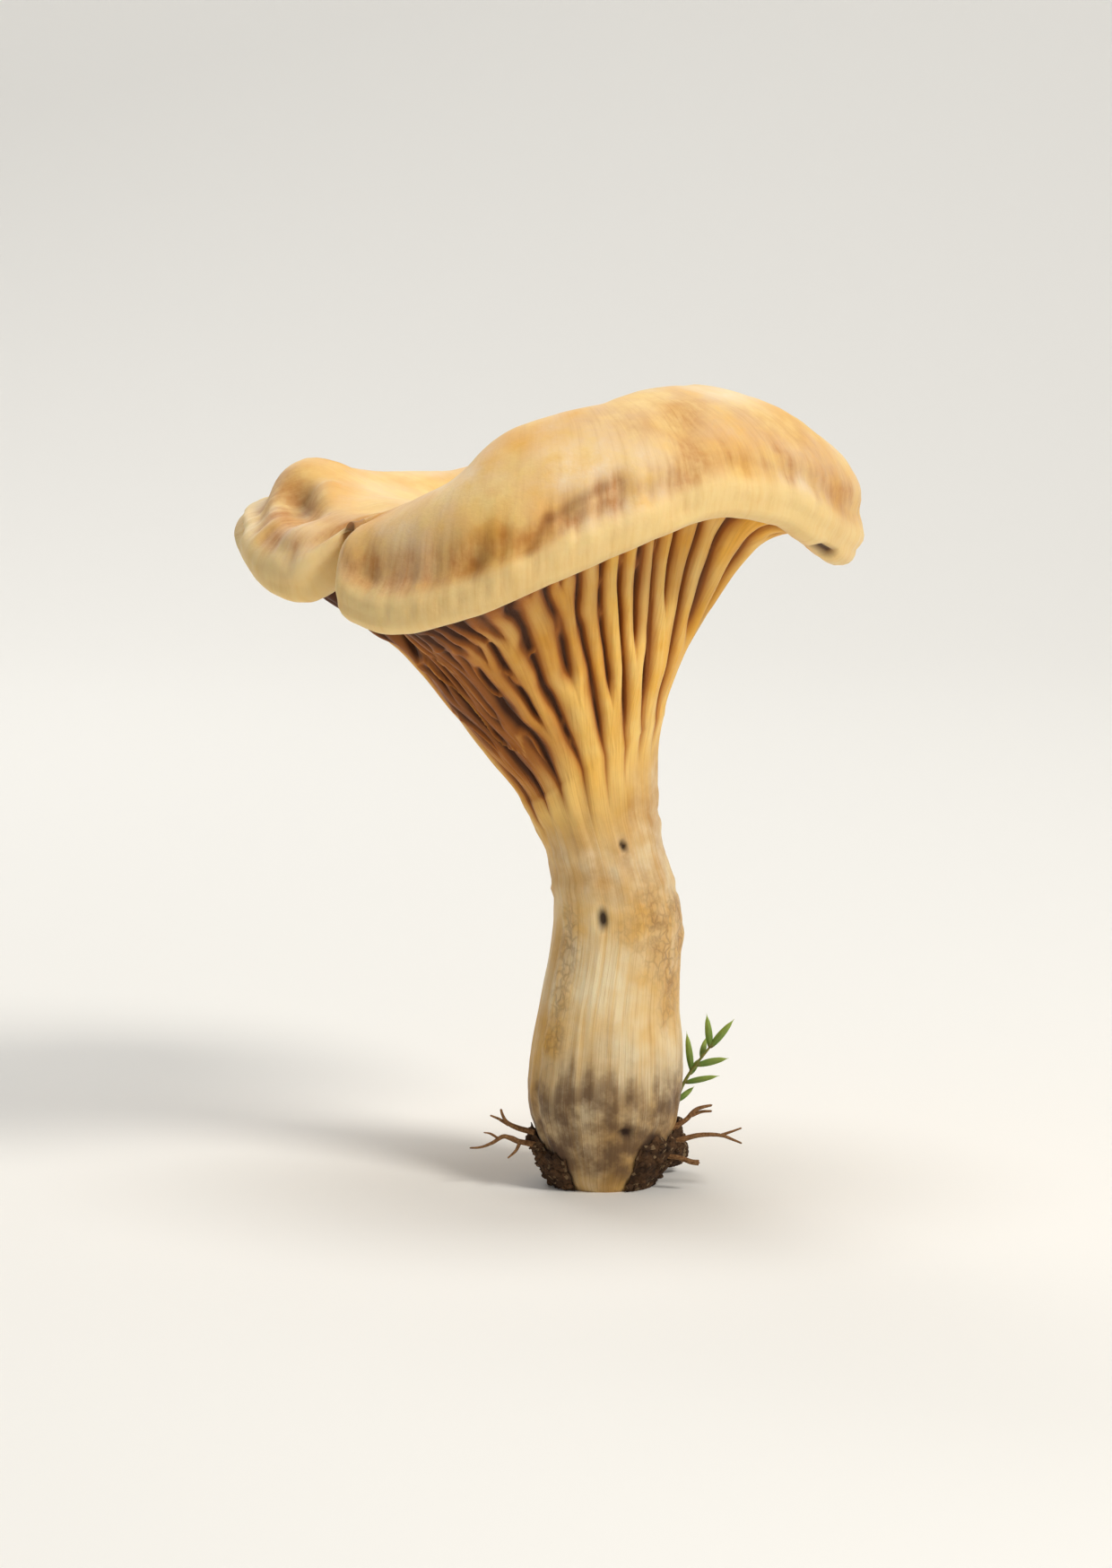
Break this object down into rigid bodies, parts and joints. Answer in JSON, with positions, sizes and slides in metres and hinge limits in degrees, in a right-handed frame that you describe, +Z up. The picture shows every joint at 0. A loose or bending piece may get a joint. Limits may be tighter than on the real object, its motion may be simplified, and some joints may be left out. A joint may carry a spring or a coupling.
{
  "type": "chanterelle mushroom",
  "caption": "Chanterelle mushroom with a wavy funnel-shaped cap, forking ridges that run down the stem, and soil, rootlets and moss clinging to the cut foot.",
  "frame": {"origin": "middle of the flat cut foot, on the surface that the mushroom stands on", "axes": "+Z up the stem, +X towards the drooping right end of the cap, -Y towards the front, where the cleft in the margin is at the left"},
  "size_m": [0.0696, 0.0599, 0.09],
  "materials": {
    "flesh": "dry, finely fibrous mushroom flesh: pale golden cap, yolk-yellow ridges with darker amber furrows, paler fibrous stem browning towards the foot",
    "soil": "matte crumbly forest soil with brown rootlets in it",
    "moss": "matte olive-green moss leaves"
  },
  "bodies": {
    "root": {"fruit_body": "flesh", "soil_left": "soil", "soil_right": "soil", "moss_sprig": "moss"}
  },
  "joints": []
}
